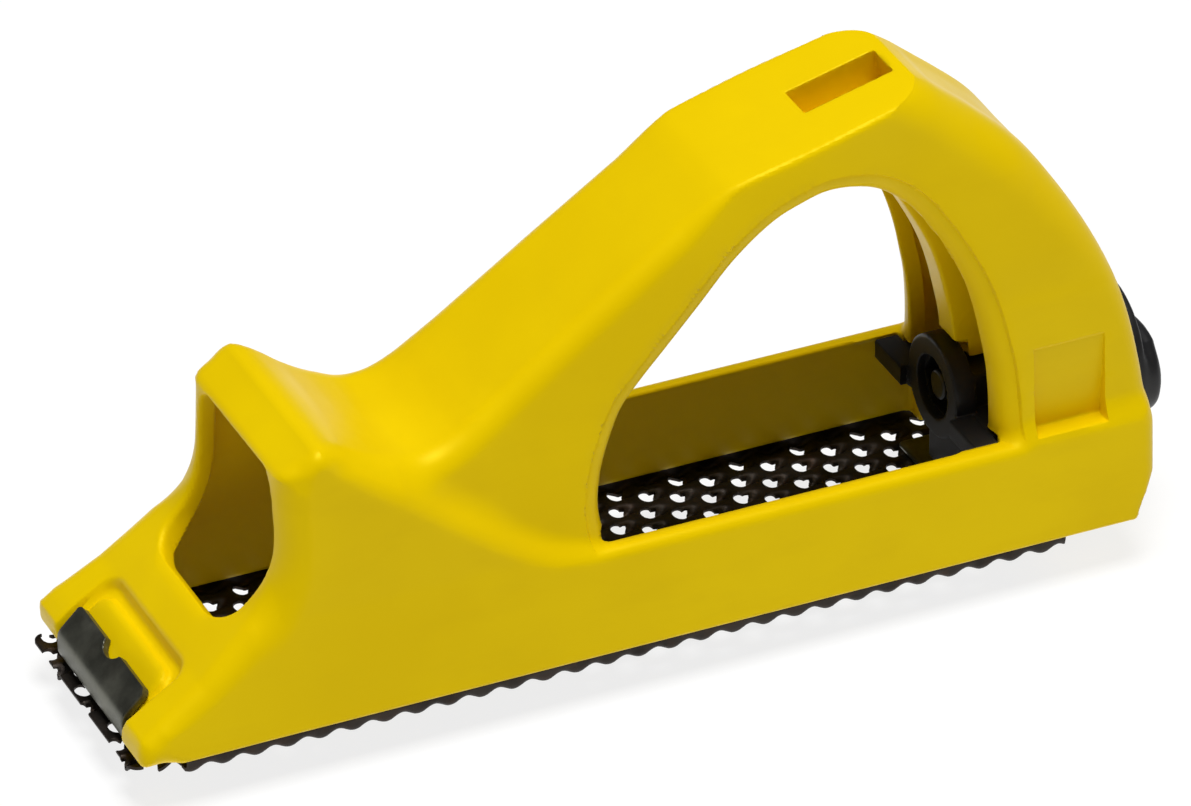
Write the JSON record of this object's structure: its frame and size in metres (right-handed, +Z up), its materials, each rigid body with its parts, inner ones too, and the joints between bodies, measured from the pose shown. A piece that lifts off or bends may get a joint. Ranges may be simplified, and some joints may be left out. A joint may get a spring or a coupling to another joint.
{
  "type": "rasp plane",
  "caption": "Hand rasp plane: a moulded body with a hollow handle holds a perforated rasp blade, hooked over the toe and drawn tight by a rear thumbscrew.",
  "frame": {"origin": "centre of the footprint, on the plane of the blade's tooth tips", "axes": "+X from the toe to the heel and the thumbscrew, +Z up from the tooth tips to the palm rest, +Y to the tool's left seen from behind"},
  "size_m": [0.1622, 0.042, 0.0741],
  "materials": {
    "body_plastic": "satin moulded",
    "blade_steel": "oil-blackened",
    "hook_steel": "oil-blackened",
    "black_plastic": "satin moulded",
    "plated_steel": "zinc plated"
  },
  "bodies": {
    "frame": {"body": "body_plastic", "washer": "plated_steel"},
    "thumbscrew": {"knob": "black_plastic", "screw": "plated_steel"},
    "slider": {"carrier": "black_plastic", "nut": "plated_steel"},
    "blade_strip": {"blade": "blade_steel", "toe_hook": "hook_steel", "heel_hook": "hook_steel"}
  },
  "joints": [
    {"name": "knob_turn", "type": "hinge", "parent": "frame", "child": "thumbscrew", "pos_m": [0.0722, 0, 0.0189], "axis": [1, 0, 0], "range_deg": [0, 1800]},
    {"name": "carrier_slide", "type": "slide", "parent": "frame", "child": "slider", "axis": [-1, 0, 0], "range_m": [0, 0.00501]},
    {"name": "blade_swing", "type": "hinge", "parent": "frame", "child": "blade_strip", "pos_m": [-0.0768, 0, 0.0072], "axis": [0, 1, 0], "range_deg": [0, 1.6]}
  ],
  "couplings": [
    {"joint": "carrier_slide", "follows": "knob_turn", "m_per_rad": 0.00015915},
    {"joint": "blade_swing", "follows": "knob_turn", "ratio": 0.00088889}
  ]
}
